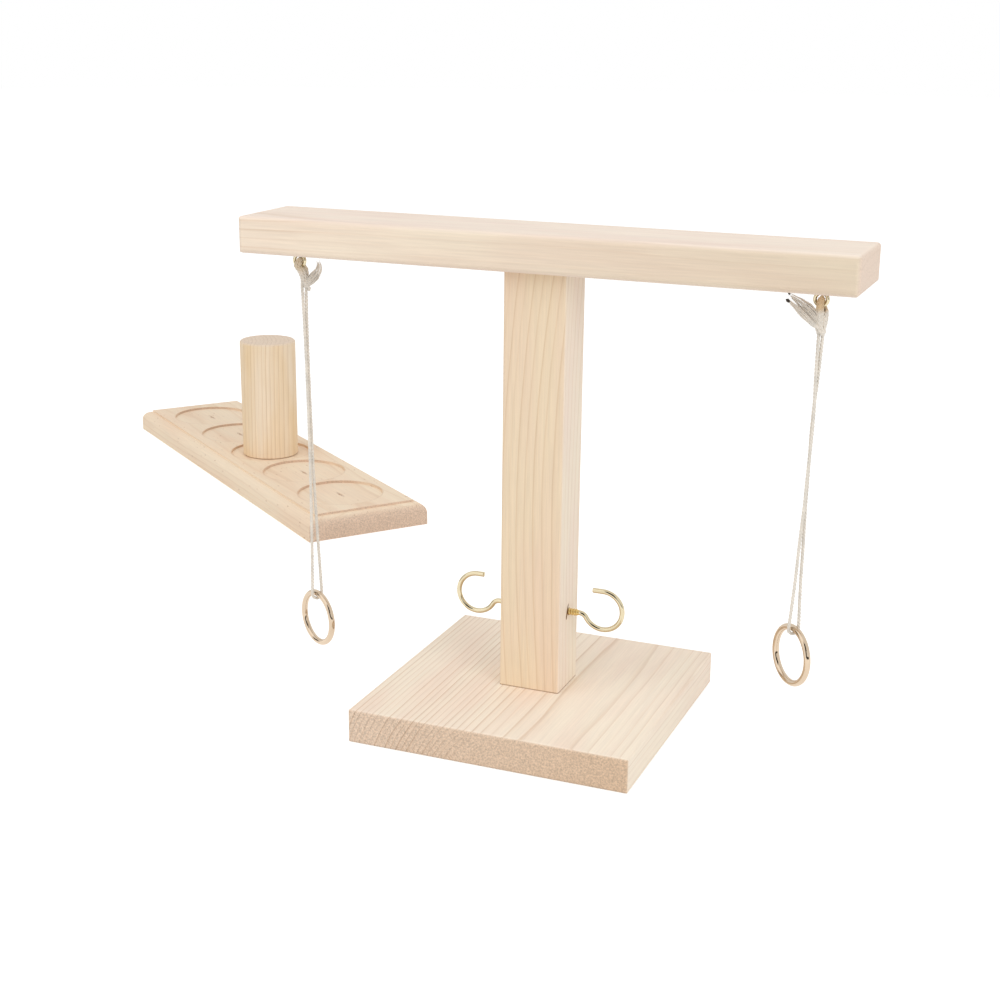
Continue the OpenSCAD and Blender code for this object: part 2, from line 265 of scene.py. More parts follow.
def mesh_piece(name, shells, material, body):
    """One smooth-shaded mesh object made of several shells, riding on a body."""
    verts, faces = [], []
    for shell_verts, shell_faces in shells:
        start = len(verts)
        verts.extend(shell_verts)
        faces.extend([i + start for i in face] for face in shell_faces)
    piece = add_mesh(name, verts, faces, material)
    piece.data.validate()
    piece.data.shade_smooth()
    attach(piece, body)
    return piece


def facing(azimuth, height):
    """The turn that leads +Z to an azimuth, from the front towards +X, and a height angle."""
    return Matrix.Rotation(azimuth, 4, "Z") @ Matrix.Rotation(pi / 2 - height, 4, "X")


# ------------ string

def from_eye(side, points):
    """Points in millimetres from the middle of the eye, as places in metres in the frame."""
    return [EYES[side] + MM * Vector(p) for p in points]


def on_line(side, points):
    """Points in millimetres from the hanging line, as places in metres in the frame."""
    lean = Matrix.Rotation(-LEANS[side] if side == "left" else LEANS[side], 3, "Y")
    beside = Vector((HANGS[side], 0, 0))
    return [EYES[side] + MM * (lean @ (Vector(p) + beside)) for p in points]


def string_route(side):
    """The hanging loop's points in metres: down, under the ring's wire and up again."""
    strand = [Vector(p) for p in STRANDS[side]]
    foot = strand[-1]
    out = Vector((foot.x, foot.y, 0)).normalized()
    turn = [RING_TURN_R * cos(a) * out + Vector((0, 0, foot.z + RING_TURN_R * sin(a)))
            for a in map(radians, (-30, -60, -90, -120, -150))]
    back = [Vector((-p.x, -p.y, p.z)) for p in reversed(strand)]
    return on_line(side, [*strand, *turn, *back])


def plied_reach(radius, plies, turn):
    """How far the surface of plies laid side by side reaches at an angle round the string."""
    share = sin(pi / plies)
    offset = radius / (1 + share)
    ply_r = radius - offset
    sector = 2 * pi / plies
    local = (turn + sector / 2) % sector - sector / 2
    across = offset * sin(local)
    along = offset * cos(local)
    return max(along + sqrt(max(ply_r ** 2 - across ** 2, 0)), 0.66 * radius)


def string_shell(points, diameter, plies, lay, step):
    """A twisted string along points, a little uneven in thickness."""

    def reach(i, angle):
        far = i * step
        wave = 1 + 0.035 * sin(far / (7.3 * MM)) * sin(far / (2.9 * MM))
        return plied_reach(diameter / 2 * wave, plies, angle + 2 * pi * far / lay)

    return sweep(smooth_line(points, step), 8 * plies, reach)


def stray_fibres(line, diameter, count, seed):
    """Short loose fibres that stand off a string's surface."""
    draw = random.Random(seed)
    shells = []
    frames = carried_frames(line)
    for _ in range(count):
        i = draw.randrange(4, len(line) - 4)
        run, u, v = frames[i]
        angle = draw.uniform(0, 2 * pi)
        out = cos(angle) * u + sin(angle) * v
        length = draw.uniform(0.5, 1.3) * MM
        lean = (out + draw.uniform(-1.4, 1.4) * run).normalized()
        start = line[i] + 0.4 * diameter * out
        bend = start + 0.5 * length * lean + draw.uniform(-0.15, 0.15) * MM * out
        tip = start + length * lean + draw.uniform(-0.3, 0.3) * MM * run
        fibre = [start, bend, tip]
        shells.append(sweep(fibre, 3, lambda n, _: (0.035, 0.03, 0.012)[n] * MM))
    return shells


def wrap_points(centre, radius, start, turns, rise, tilt):
    """A wrap round the upright bundle, in millimetres: its angles and tilt in degrees."""
    turned = Matrix.Rotation(radians(tilt), 3, "Y")
    count = max(6, round(turns * 14))
    points = []
    for n in range(count + 1):
        angle = radians(start) + 2 * pi * turns * n / count
        flat = Vector((radius * cos(angle), radius * sin(angle), 0))
        points.append(Vector(centre) + turned @ flat + Vector((0, 0, rise * n / count)))
    return points


def eye_arch(x, layer=0):
    """The string's way over the eye's lowest wire, from front to back, in millimetres."""
    ring_r, string_r = 2.74, (1.72, 3.08, 3.9)[layer]
    return [(x, string_r * cos(radians(a)),
             -ring_r + string_r * sin(radians(a))) for a in range(180, -1, -30)]


def width_at(widths, share):
    """The width at a share of a tail's length, between the given ones."""
    place = share * (len(widths) - 1)
    i = min(int(place), len(widths) - 2)
    return widths[i] + (widths[i + 1] - widths[i]) * (place - i)


def frayed_tail(points, widths, yarns, seed):
    """A cut end that has come apart into its yarns, a flat loose band of the given widths."""
    draw = random.Random(seed)
    line = smooth_line(points, 0.3 * MM)
    frames = carried_frames(line)
    count = len(line) - 1
    flat = [Vector((0, -1, 0)).cross(run).normalized() for run, _, _ in frames]
    shells = []
    for yarn in range(yarns):
        across = 2 * (yarn + draw.uniform(0.2, 0.8)) / yarns - 1
        deep = draw.uniform(-0.45, 0.45) * sqrt(max(0.1, 1 - across ** 2))
        wander, pace = draw.uniform(0.04, 0.16), draw.uniform(0.8, 2.2)
        turn = draw.uniform(0, 2 * pi)
        ends = draw.uniform(0.86, 1.0) if draw.random() < 0.7 else draw.uniform(0.66, 0.86)
        radius = draw.uniform(0.17, 0.3) * MM
        path = []
        for i in range(round(count * ends) + 1):
            share = i / count
            run, side = frames[i][0], flat[i]
            half = width_at(widths, share) / 2 * MM
            sway = across + wander * sin(turn + 2 * pi * pace * share)
            path.append(line[i] + half * (sway * side + deep * run.cross(side)))
        last = len(path) - 1
        shells.append(sweep(path, 6, lambda i, a, r=radius, last=last: r * (
            1 - 0.8 * (i / last) ** 5)))
    for _ in range(3 * yarns):
        i = draw.randrange(count // 5, count)
        run, side = frames[i][0], flat[i]
        half = width_at(widths, i / count) / 2 * MM
        edge = draw.choice((-1, 1))
        start = line[i] + half * draw.uniform(0.6, 1) * edge * side
        length = draw.uniform(0.5, 1.6) * MM
        lean = (run + draw.uniform(0.05, 0.8) * edge * side).normalized()
        bend = start + 0.55 * length * lean
        tip = start + length * (lean + draw.uniform(-0.2, 0.4) * edge * side).normalized()
        shells.append(sweep([start, bend, tip], 3, lambda n, _: (0.05, 0.04, 0.015)[n] * MM))
    return shells


# Each knot in millimetres from the middle of its eye: the strands that go through the eye
# and down into the hanging loop, and the wraps round them.
KNOT_STRANDS = {
    "left": [
        [(1.5, -0.6, -16.2), (1.5, -0.9, -13), (1.9, -1.4, -10), (2, -1.8, -6.4),
         (1.3, -1.85, -4.4), *eye_arch(-0.65), (1.4, 1.9, -6), (1.7, 1.4, -10),
         (1.9, 0.7, -13.4)],
        [(3, 0.4, -16.2), (3.5, -0.3, -13), (4.1, -1.1, -10), (3.7, -1.7, -6.4),
         (2.6, -1.85, -4.2), *eye_arch(0.95), (3, 1.7, -5.6), (3.5, 1.2, -9.6),
         (3.1, 0.5, -13.4)],
        [(3.1, -1.9, -9.6), (2.8, -2.7, -6.6), (1.9, -3.05, -4.2), *eye_arch(0.9, 1),
         (2.3, 3, -5), (2.8, 1.8, -9)],
        [(2.2, -2, -9), (2, -2.6, -6.2), (1.3, -3, -4.2), *eye_arch(-0.6, 1),
         (1.5, 3, -5), (2, 1.8, -9)],
        [(2.5, -2.3, -9.2), (2.1, -3.3, -6.4), (1.2, -3.8, -4.2), *eye_arch(0.15, 2),
         (1.4, 3.7, -4.6), (2.2, 2.3, -9)],
        wrap_points((3.9, -0.5, -11.2), 1.5, -170, 1.3, 0.9, 28),
        wrap_points((4.3, -0.7, -10.2), 1.15, 60, 1.25, -0.9, -40),
        [(3.2, -1.4, -12.6), (4.7, -1.5, -12.2), (5.6, -1.1, -13.2), (5.2, -0.8, -14.4)],
    ],
    "right": [
        [(0.1, -0.6, -16.2), (-0.7, -1, -13.6), (-1.5, -1.5, -10.4), (-1.6, -1.8, -7),
         (-1.3, -1.9, -4.6), *eye_arch(-0.85), (-1.6, 1.7, -6), (-1.6, 1.3, -10),
         (-0.2, 0.7, -15)],
        [(1.5, 0.4, -16.2), (2, -0.5, -13.4), (2.1, -1.5, -10), (1.5, -1.9, -6.6),
         *eye_arch(0.85), (2.4, 1.6, -5), (2.6, 1.2, -9), (2, 0.8, -12.4),
         (1.2, 0.5, -15.4)],
        [(0.3, -1.6, -13.4), (-0.5, -2.5, -9.4), (-0.8, -3, -5), *eye_arch(-0.75, 1),
         (-0.6, 3, -5), (0.2, 1.6, -10)],
        [(1, -1.6, -13.4), (1.1, -2.5, -9.4), (0.9, -3, -5), *eye_arch(0.75, 1),
         (1.1, 3, -5), (1.4, 1.6, -10)],
        [(0.6, -2, -12.4), (0.3, -3.2, -8.4), (0.1, -3.8, -4.4), *eye_arch(0.1, 2),
         (0.2, 3.7, -4.6), (0.7, 2.2, -10)],
        [(1.3, -0.9, -15.6), (2.3, -1.1, -13), (2.6, -1.2, -10), (2.6, -1.2, -7),
         (2.6, -0.6, -5.1), (2.6, 0.9, -5.2), (2.5, 1.4, -7), (2.4, 1, -10)],
        [(1.9, -1.3, -14.4), (1.1, -2.3, -11.6), (0, -2.7, -8.6), (-0.9, -2.6, -6),
         (-1.2, -2.3, -4.2)],
        [(1.9, -1.3, -15.6), (0.7, -2, -13.6), (-0.7, -2.4, -11.6), (-1.9, -2.3, -9.8),
         (-2, -1.4, -8.6)],
        wrap_points((0.8, -0.1, -14.3), 1.45, -160, 1.15, 0.8, 14),
    ],
}
# The cut tails of each knot, as (points, widths along them), in millimetres
KNOT_TAILS = {
    "left": [
        ([(3.4, -1.5, -12.4), (5, -1.6, -10.7), (7, -1.4, -8.7), (9.1, -1.1, -6.5),
          (10.7, -1, -4.2), (11.3, -1, -1.9), (10.9, -0.9, 0.9)],
         (1.8, 3.4, 4.3, 4.4, 3.8, 2.5, 0.9)),
    ],
    "right": [
        ([(0.8, -2, -11.7), (-0.8, -2.6, -9.2), (-3.2, -2.8, -5.8), (-6.2, -2.8, -3.1),
          (-8.7, -2.8, -1.4), (-12, -2.8, 0.8), (-13.9, -2.8, 2)],
         (1.8, 3.2, 4.3, 4.5, 4, 2.2, 0.8)),
        ([(-0.5, -2.3, -11.9), (-1.9, -3.2, -11), (-3.6, -3.9, -9.3), (-6.9, -4.2, -6.5),
          (-9.8, -4.2, -3.9), (-12.6, -4.2, -1.6), (-14, -4.2, -0.8)],
         (1.3, 2, 2.3, 2.4, 2.1, 1.3, 1)),
    ],
}


# ------------ materials

def plug(node, inputs):
    """Sets or links a node's inputs: by name from a dict, or in order through the sockets in
    use. A node given as a value stands for its first output in use."""
    if isinstance(inputs, dict):
        pairs = [(node.inputs[name], value) for name, value in inputs.items()]
    else:
        pairs = zip([socket for socket in node.inputs if socket.enabled], inputs)
    for socket, value in pairs:
        if isinstance(value, bpy.types.Node):
            value = next(output for output in value.outputs if output.enabled)
        if isinstance(value, bpy.types.NodeSocket):
            node.id_data.links.new(value, socket)
        else:
            socket.default_value = value


def add_node(tree, kind, inputs=(), operation=None, **settings):
    """Adds one shader node with its settings, values and links."""
    node = tree.nodes.new(f"ShaderNode{kind}")
    if operation:
        node.operation = operation
    for name, value in settings.items():
        setattr(node, name, value)
    plug(node, inputs)
    return node


def set_stops(ramp, stops):
    """Gives a colour ramp its stops: position and grey value."""
    elements = ramp.color_ramp.elements
    while len(elements) < len(stops):
        elements.new(0.5)
    for element, (position, value) in zip(elements, stops):
        element.position = position
        element.color = (value, value, value, 1)


def new_material(name):
    """A material with one Principled shader, as (material, what adds its nodes, shader)."""
    material = bpy.data.materials.new(name)
    material.use_nodes = True
    tree = material.node_tree
    return material, partial(add_node, tree), tree.nodes["Principled BSDF"]


def cleared(owner):
    """Empties the nodes of a material or a world, and gives what adds nodes to it."""
    owner.use_nodes = True
    owner.node_tree.nodes.clear()
    return partial(add_node, owner.node_tree)


class Cut(NamedTuple):
    """How a piece of wood was cut, in millimetres, and how it looks."""

    name: str
    grain: tuple  # the turn from X to the grain
    axis: tuple  # the grain's direction
    pith: tuple  # a point on the growth rings' middle line
    first: float  # radius of the first ring
    ring: float  # width of a ring
    wander: float  # how far the rings stray
    early: str  # early wood
    tint: str  # patches in it
    late: str  # late wood
    lines: float  # how strong its lines are
    end: str  # end grain
    stipple: float  # how strong its open cells are
    ends: tuple  # X from and to, and how strong the lines on the ends are at each
    fade: tuple = (0, 1, 1.0)  # X from and to, and the share of the lines left past it
    bow: float = 0.0  # sideways bow of the trunk over the length squared
    bow_at: float = 0.0  # and where it turns
    flecks: float = 0.0  # how strong brown flecks along the grain are
    spots: float = 0.0  # and spots on the ends
    marks: float = 0.0  # distance between the seats, which show a cutter's marks
    face: tuple = ()  # a face's direction and its painted light and shade, as tints where their span starts and stops


UPRIGHT = (0, radians(-90), 0)
BOARD_TURN = radians(-38)
PINE_CUTS = {
    "base_plate": Cut(
        "pine_planed_base", grain=(0, 0, radians(90)), axis=(0, 1, 0),
        pith=(30, 0, -32), first=43, ring=2.5, wander=0.8, early="FDF0DD", tint="FAE5D3",
        late="C49A70", lines=0.46, fade=(-25, 45, 0.4), end="E2C6AB", stipple=0.55,
        ends=(-35, 5, 1.1, 0.1), spots=0.8,
        face=((0, -1, 0), (1.18, 1.28, 1.42), (0.88, 0.82, 0.72))),
    "upright_post": Cut(
        "pine_planed_post", grain=UPRIGHT, axis=(0, 0, 1), pith=(62, 40, 0), first=30,
        ring=3.2, wander=1.2, bow=0.0005, bow_at=95, early="F1DCBE", tint="F0D6BC",
        late="C9A274", lines=0.26, end="DDBE9F", stipple=0.5, ends=(0, 1, 1.6, 1.6),
        face=((1, 0, 0), (1.05, 1.14, 1.3), (1.05, 1.14, 1.3))),
    "cross_beam": Cut(
        "pine_sanded_beam", grain=(0, 0, 0), axis=(1, 0, 0), pith=(0, 6, 120), first=60,
        ring=4.3, wander=2.2, early="FBECDC", tint="F6E2D3", late="C99F76", lines=0.26,
        fade=(-125, -100, 0.3), end="EDD8C6", stipple=0.2, ends=(0, 1, 0.8, 0.8),
        face=((0, -1, 0), (0.985, 0.97, 0.92), (0.825, 0.805, 0.72))),
    "ladder_board": Cut(
        "pine_routed_board", grain=(0, 0, BOARD_TURN),
        axis=(cos(BOARD_TURN), sin(BOARD_TURN), 0), pith=(-342, 332, -75),
        first=60, ring=3.6, wander=2.6, early="FBE7CC", tint="F8DDC1", late="D3A67C",
        lines=0.2, end="E8CCB4", stipple=0.5, ends=(0, 1, 0.35, 0.35), flecks=1.0,
        spots=0.5, marks=62.4),
    "marker_peg": Cut(
        "pine_turned_peg", grain=UPRIGHT, axis=(0, 0, 1), pith=(-392, 300, 0), first=40,
        ring=2.9, wander=1.3, bow=0.0002, bow_at=40, early="F9E6CC", tint="F1D3A6",
        late="C79D6A", lines=0.34, end="EDD8C2", stipple=0.3, ends=(0, 1, 0.5, 0.5)),
}


# The ladder board's seats: how many, and their radius in millimetres
SEATS, SEAT_R = 5, 29.3
# Where the painted light and shade on a face start and stop, as X in millimetres
LIGHT_AND_SHADE_SPAN = (-140, 150)
# Browns in the pine: late wood on the ends, flecks, the seats' marks and darker lines, and shadow
# in a seam
END_LINE, FLECK, MARK_BROWN, SEAM = map(linear, ("A97F5A", "B07F55", "9C6A45", "8A6242"))


def pine(cut, seams=()):
    """Planed pine: growth rings as solid rounds through the whole piece, so long faces show
    lines and end faces show arcs, with fibres along the grain and open cells on the ends."""
    material, add, shader = new_material(cut.name)

    def pattern(place, lengths, detail, roughness=0.5):
        """Noise whose grains have the given lengths in millimetres."""
        run = add("VectorMath", [place, [1 / length for length in lengths]], "MULTIPLY")
        return add("TexNoise", [run, 1.0, detail, roughness])

    place = add("TexCoord").outputs
    mm = add("VectorMath", [place["Object"], 1 / MM], "SCALE")
    grain = add("Mapping", [mm, cut.pith, cut.grain], vector_type="TEXTURE")
    along, across, deep = add("SeparateXYZ", [grain]).outputs

    # The rings wander slowly along the trunk, in about 200 mm lengths, with a fine ripple
    slow = pattern(grain, (190, 42, 42), 1.5)
    wander = add("MapRange", [slow, 0, 1, -2 * cut.wander, 2 * cut.wander], clamp=False)
    fine = pattern(grain, (34, 6, 6), 1.0)
    ripple = add("MapRange", [fine, 0, 1, -0.2, 0.2], clamp=False)

    # The trunk's bow moves the pith sideways with the square of the distance along it
    past = add("Math", [along, cut.bow_at], "SUBTRACT")
    square = add("Math", [past, 2.0], "POWER")
    bent = add("Math", [square, cut.bow, deep], "MULTIPLY_ADD")
    section = add("CombineXYZ", [0, across, bent])
    radius = add("VectorMath", [section], "LENGTH")
    strayed = add("Math", [add("Math", [radius, wander], "ADD"), ripple], "ADD")
    past_first = add("Math", [strayed, cut.first], "SUBTRACT")
    years = add("Math", [past_first, cut.ring], "DIVIDE")
    season = add("Math", [years], "FRACT")
    year = add("Math", [years], "FLOOR")
    vigour = add("TexWhiteNoise", [year], noise_dimensions="1D")

    # Pale early wood darkens slowly into a narrow late band, which ends sharply
    late = add("ValToRGB", [season])
    set_stops(late, [(0.0, 0.4), (0.06, 0.03), (0.5, 0.05), (0.8, 0.25), (0.93, 1.0), (1.0, 0.9)])
    strength = add("MapRange", [vigour, 0, 1, cut.lines * 0.45, cut.lines * 1.3])
    # The lines are plain on one side of the piece and fade towards its other side
    x, _, z = add("SeparateXYZ", [mm]).outputs
    start, stop, left = cut.fade
    faded = add("MapRange", [x, start, stop, 1.0, left])
    lasting = add("Math", [strength, faded], "MULTIPLY")
    band = add("Math", [late, lasting], "MULTIPLY")

    # Fibres are 0.03 mm wide in pine: drawn ten to twenty times coarser, to show at all
    fibre = pattern(grain, (26, 0.8, 0.8), 3.0, 0.62)
    cloud = pattern(grain, (80, 17, 17), 2.0)
    cloudy = add("MapRange", [cloud, 0.38, 0.66, 0, 0.75])
    early = add("Mix", [cloudy, linear(cut.early), linear(cut.tint)], data_type="RGBA")
    wood = add("Mix", [band, early, linear(cut.late)], data_type="RGBA")
    fibre_tone = add("MapRange", [fibre, 0.25, 0.75, 0.93, 1.05])
    streaked = add("VectorMath", [wood, fibre_tone], "SCALE")

    # End grain: darker and browner, with open cells as a coarse stipple
    towards_end = add("VectorMath", [place["Normal"], cut.axis], "DOT_PRODUCT")
    end_on = add("Math", [towards_end], "ABSOLUTE")
    end_share = add("MapRange", [end_on, 0.45, 0.85, 0, 1])
    cells = pattern(mm, (0.95, 0.95, 0.95), 2.5, 0.7)
    darkest, palest = 1 - cut.stipple * 0.5, 1 + cut.stipple * 0.26
    cell_tone = add("MapRange", [cells, 0.32, 0.66, darkest, palest])
    end_gain = add("MapRange", [x, *cut.ends])
    end_lines = add("Math", [band, end_gain], "MULTIPLY", use_clamp=True)
    end_band = add("Mix", [end_lines, linear(cut.end), END_LINE], data_type="RGBA")
    stippled = add("VectorMath", [end_band, cell_tone], "SCALE")
    colour = add("Mix", [end_share, streaked, stippled], data_type="RGBA")

    if cut.flecks or cut.spots:
        # Short brown flecks along the grain, a few millimetres long, and spots on the ends
        run = add("VectorMath", [grain, (1 / 6.5, 1 / 2.2, 1 / 2.2)], "MULTIPLY")
        fleck = add("TexVoronoi", [run, 1.0]).outputs
        core = add("MapRange", [fleck["Distance"], 0.12, 0.24, 1, 0])
        pick = add("SeparateColor", [fleck["Color"]])
        some = add("MapRange", [pick, 0.72, 0.95, 0, 0.6])
        where = add("MapRange", [end_share, 0, 1, cut.flecks, cut.spots])
        here = add("Math", [some, where], "MULTIPLY")
        share = add("Math", [core, here], "MULTIPLY")
        colour = add("Mix", [share, colour, FLECK], data_type="RGBA")

    if cut.marks:
        # A torn spot and a short crack where the cutter's point sat in each seat's middle
        nearest = add("Math", [along, cut.marks / 2, -cut.marks / 2], "WRAP")
        spot = add("CombineXYZ", [nearest, across])
        torn = add("VectorMath", [cells.outputs["Color"], (5, 3.2, 0), spot], "MULTIPLY_ADD")
        offset = add("VectorMath", [torn, (2.5, 1.6, 0)], "SUBTRACT")
        crack = add("VectorMath", [offset, (0.22, 1.5, 0)], "MULTIPLY")
        sizes = [add("VectorMath", [way], "LENGTH") for way in (offset, crack)]
        nearer = add("Math", sizes, "MINIMUM")
        marked = add("MapRange", [nearer, 0.6, 1.8, 0.6, 0])
        # and a thin darker line round the foot of the seat's wall
        turned = add("VectorMath", [spot], "LENGTH")
        wall_foot_line = add("Math", [turned, SEAT_R, 0.5], "COMPARE")
        browned = add("Math", [wall_foot_line, 0.16, marked], "MULTIPLY_ADD", use_clamp=True)
        # only where the seats are, not on the board's ends
        from_middle = add("Math", [along], "ABSOLUTE")
        seated = add("Math", [from_middle, cut.marks * SEATS / 2], "LESS_THAN")
        browned = add("Math", [browned, seated], "MULTIPLY")
        colour = add("Mix", [browned, colour, MARK_BROWN], data_type="RGBA")

    if cut.face:
        # One face is painted lighter or darker with tints, as the light falls on it, from one end
        # of it to the other
        direction, near_light_shade, far_light_shade = cut.face
        towards = add("VectorMath", [place["Normal"], direction], "DOT_PRODUCT")
        lit_face_share = add("MapRange", [towards, 0.5, 0.95, 0, 1])
        travel = add("MapRange", [x, *LIGHT_AND_SHADE_SPAN, 0, 1])
        tint = add("Mix", [travel, (*near_light_shade, 1), (*far_light_shade, 1)], data_type="RGBA")
        colour = add("Mix", [lit_face_share, colour, tint], data_type="RGBA", blend_type="MULTIPLY")

    for seam in seams:
        # A thin dark line of shadow where two pieces butt together
        off = add("Math", [z, seam], "SUBTRACT")
        away = add("Math", [off], "ABSOLUTE")
        near = add("MapRange", [away, 0.25, 0.6, 0.75, 0])
        colour = add("Mix", [near, colour, SEAM], data_type="RGBA")

    rough = add("MapRange", [fibre, 0.3, 0.7, 0.56, 0.7])
    end_height = add("Math", [end_share, cells], "MULTIPLY")
    height = add("Math", [end_height, 1.6, fibre], "MULTIPLY_ADD")
    raised = add("Math", [band, 0.8, height], "MULTIPLY_ADD")
    bump = add("Bump", {"Height": raised, "Strength": 0.5, "Distance": 0.12 * MM})
    plug(shader, {"Base Color": colour, "Roughness": rough, "Normal": bump,
                  "Specular IOR Level": 0.3})
    return material


def plated_wire(name, colour, roughness, grit, thread=None, thread_end=0.0):
    """Bright plated wire: smooth metal with the faint waviness of drawn wire. Nearer to the
    post's middle than thread_end it has the thread's colour and is duller."""
    material, add, shader = new_material(name)
    place = add("TexCoord").outputs["Object"]
    wave = add("TexNoise", [place, 1 / (grit * MM), 2.0])
    tone = add("MapRange", [wave, 0.3, 0.7, 0, 1])
    darker = [c * 0.93 for c in colour[:3]] + [1.0]
    shade = add("Mix", [tone, colour, darker], data_type="RGBA")
    gloss = add("MapRange", [wave, 0.3, 0.7, roughness * 0.8, roughness * 1.25])
    if thread:
        x = add("SeparateXYZ", [place]).outputs[0]
        threaded = add("MapRange", [x, thread_end, thread_end + 0.5 * MM, 1, 0])
        right = add("Math", [x, 0.0], "GREATER_THAN")
        share = add("Math", [threaded, right], "MULTIPLY")
        shade = add("Mix", [share, shade, thread], data_type="RGBA")
        gloss = add("Math", [share, 0.3, gloss], "MULTIPLY_ADD")
    bump = add("Bump", {"Height": wave, "Strength": 0.12, "Distance": 0.05 * MM})
    plug(shader, {"Base Color": shade, "Roughness": gloss, "Normal": bump, "Metallic": 1.0})
    return material


def twisted_cotton(name, colour, eye_glow_shade=None, eye_height=0.0):
    """Unbleached cotton yarn: matt, slightly uneven in tone, with a soft nap. Where the eye's
    colour is given, it is painted that much browner inside the screw eye: painted shade with
    the brass's warm reflected light."""
    material, add, shader = new_material(name)
    place = add("TexCoord").outputs["Object"]
    tone = add("TexNoise", [place, 1 / (5 * MM), 3.0])
    # Cotton fibres are 0.02 mm thick: the nap is drawn as 0.3 mm grains, so that it shows
    nap = add("TexNoise", [place, 1 / (0.3 * MM), 2.0])
    share = add("MapRange", [tone, 0.35, 0.65, 0, 1])
    greyer = [c * k for c, k in zip(colour[:3], (0.86, 0.87, 0.88))] + [1.0]
    cloth = add("Mix", [share, colour, greyer], data_type="RGBA")
    if eye_glow_shade:
        # Painted shade and the brass's warm reflected light, browner inside the screw eye
        z = add("SeparateXYZ", [place]).outputs[2]
        eye_shaded = add("MapRange", [z, eye_height - 5.6 * MM, eye_height - 3.2 * MM, 0, 0.9])
        cloth = add("Mix", [eye_shaded, cloth, eye_glow_shade], data_type="RGBA")
    nap_tone = add("MapRange", [nap, 0.3, 0.7, 0.93, 1.05])
    spun = add("VectorMath", [cloth, nap_tone], "SCALE")
    bump = add("Bump", {"Height": nap, "Strength": 0.5, "Distance": 0.08 * MM})
    plug(shader, {"Base Color": spun, "Normal": bump, "Roughness": 0.92,
                  "Sheen Weight": 0.25, "Sheen Roughness": 0.5})
    return material


# ------------ metalwork

# The hooks' shapes as in the part's source: rise from the shank to the round's middle,
# radius of the neck and length of plain shank; depth of all threads; the eyes' radius
HOOK_LIFT, HOOK_NECK_R, HOOK_STAND_OFF = 2.9 * MM, 4 * MM, 5.7 * MM
THREAD_DEPTH = 11 * MM
EYE_R = 2.85 * MM


def straight(start, stop, count):
    """Points that part a straight run into count equal steps."""
    return [start.lerp(stop, i / count) for i in range(count + 1)]


def arc(middle, radius, start, stop, step):
    """Points about a step apart on an upright round, up to its stop but without it."""
    count = round(radius * abs(stop - start) / step)
    angles = [start + (stop - start) * i / count for i in range(count)]
    return [middle + radius * Vector((cos(a), 0, sin(a))) for a in angles]


def thread_crest(far, angle, pitch):
    """How much of a wood thread's crest stands at a place along and round its wire."""
    phase = (far / pitch - angle / (2 * pi)) % 1
    return max(0.0, 1 - abs(phase - 0.5) * 3.2)


def dress(node, material):
    """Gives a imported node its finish."""
    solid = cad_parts[node]
    solid.data.materials.clear()
    solid.data.materials.append(material)


# ------------ operators

class RINGTOSS_OT_camera(bpy.types.Operator):
    """Places the camera"""

    bl_idname = "ringtoss.camera"
    bl_label = "Camera"

    def execute(self, context):
        stage = context.scene.ringtoss_stage
        camera = bpy.data.objects.new("camera", bpy.data.cameras.new("camera"))
        camera.data.lens = stage.lens
        camera.data.sensor_width = 36
        camera.data.clip_start = 0.05
        camera.data.clip_end = 50
        camera.matrix_world = (Matrix.Translation(stage.target)
                               @ facing(stage.yaw, stage.pitch)
                               @ Matrix.Rotation(stage.roll, 4, "Z")
                               @ Matrix.Translation((0, 0, stage.distance)))
        context.scene.collection.objects.link(camera)
        context.scene.camera = camera
        return {"FINISHED"}


def tie_knot(side, string, eye_shaded, cotton, singed):
    """The turns through the eye, the knot's wraps and the string's cut tails."""
    tied = (string.plies, string.lay, 0.22 * MM)
    shells = [string_shell(from_eye(side, strand), string.diameter * 0.97, *tied)
              for strand in KNOT_STRANDS[side]]
    body = f"{side}_knot"
    knot = mesh_piece(f"{side}_knot_tied", shells, eye_shaded, body)
    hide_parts(body)
    frays, tips = [], []
    for n, (tail, widths) in enumerate(KNOT_TAILS[side]):
        points = from_eye(side, tail)
        frays += frayed_tail(points, widths, 32, seed=5 + n)
        run = (points[-1] - points[-2]).normalized()
        reach = (0.7 + 0.4 * n) * MM
        tip = smooth_line([points[-1] - reach * run, points[-1] + reach * run], 0.1 * MM)
        tips.append(sweep(tip, 12, lambda i, a, n=n, last=len(tip) - 1: MM * (
            0.12 + (0.28 + 0.34 * n) * sin(pi * min(1, 0.12 + i / last)) ** 0.6
            + 0.04 * sin(3 * a + n + 0.5 * i))))
    loose = [mesh_piece(f"{side}_knot_tails", frays, cotton, body)]
    if side == "right":
        # The right string's ends were burnt against fraying
        loose.append(mesh_piece("right_tail_tips", tips, singed, body))
    # Each loose piece gets a mesh of its own
    for piece in loose:
        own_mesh(piece)
    return [knot, *loose]


class RINGTOSS_OT_strings(bpy.types.Operator):
    """Makes the two hanging strings and their knots"""

    bl_idname = "ringtoss.strings"
    bl_label = "Strings and knots"

    def execute(self, context):
        string = context.scene.ringtoss_string
        cotton = twisted_cotton("cotton_twisted", list(string.colour))
        singed = twisted_cotton("cotton_singed", list(string.singed))
        step = 0.3 * MM
        # Cotton in each eye is painted browner: painted shade with the brass's warm reflected
        # light
        for side, eye_glow_shade in (("left", "E6DAC2"), ("right", "E3C79C")):
            route = string_route(side)
            line = smooth_line(route, step)
            shells = [string_shell(route, string.diameter, string.plies, string.lay, step)]
            shells += stray_fibres(line, string.diameter, 150, seed=len(side))
            body = f"{side}_string"
            loop = mesh_piece(f"{body}_loop", shells, cotton, body)
            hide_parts(body)
            eye_shaded = twisted_cotton(f"cotton_eye_shaded_{side}", list(string.colour),
                                  linear(eye_glow_shade), EYES[side].z)
            pieces = tie_knot(side, string, eye_shaded, cotton, singed)
        return {"FINISHED"}


